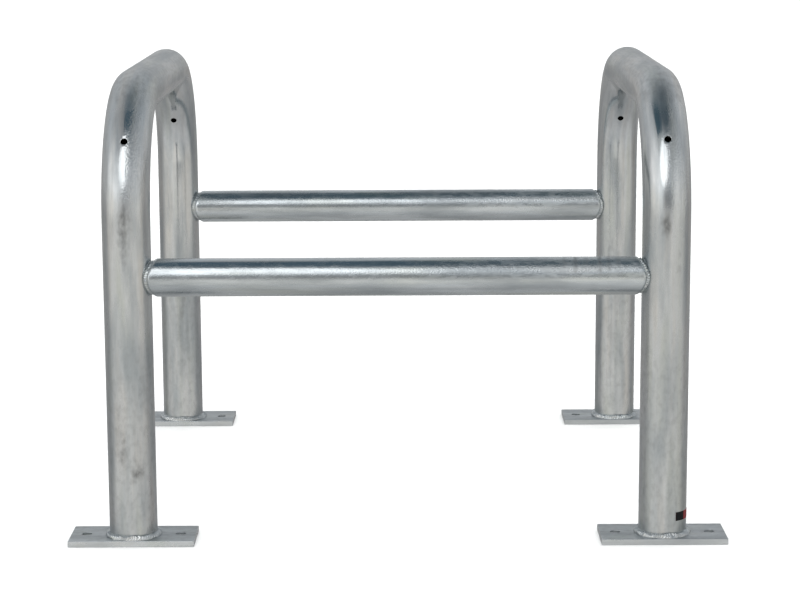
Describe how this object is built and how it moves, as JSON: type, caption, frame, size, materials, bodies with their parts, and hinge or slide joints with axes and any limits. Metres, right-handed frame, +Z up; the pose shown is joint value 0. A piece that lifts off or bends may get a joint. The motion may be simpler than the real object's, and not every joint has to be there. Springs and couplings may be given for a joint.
{
  "type": "crowd control barrier",
  "caption": "Fixed guard barrier of galvanised round steel tube: two upside-down U hoops joined by straight rails, on drilled base plates for floor bolts.",
  "frame": {"origin": "on the floor, at the middle of the footprint", "axes": "+X along the rails from the left hoop to the right, +Y from the front rail to the rear, +Z up"},
  "size_m": [1.045, 0.93, 0.74],
  "materials": {
    "galvanised_tube": "hot-dip galvanised round tube, dull to satin zinc with soft streaks along the tube",
    "galvanised_plate": "hot-dip galvanised flat bar, dull grey zinc",
    "galvanised_weld": "rippled weld bead under bright zinc",
    "label": "thin printed vinyl sticker, left blank"
  },
  "bodies": {
    "root": {"left_hoop": "galvanised_tube", "right_hoop": "galvanised_tube", "front_rail": "galvanised_tube", "rear_rail": "galvanised_tube", "base_plate_front_left": "galvanised_plate", "base_plate_front_right": "galvanised_plate", "base_plate_rear_left": "galvanised_plate", "base_plate_rear_right": "galvanised_plate", "foot_weld_front_left": "galvanised_weld", "foot_weld_front_right": "galvanised_weld", "foot_weld_rear_left": "galvanised_weld", "foot_weld_rear_right": "galvanised_weld", "rail_weld_front_left": "galvanised_weld", "rail_weld_front_right": "galvanised_weld", "rail_weld_rear_left": "galvanised_weld", "rail_weld_rear_right": "galvanised_weld", "blank_label": "label"}
  },
  "joints": []
}
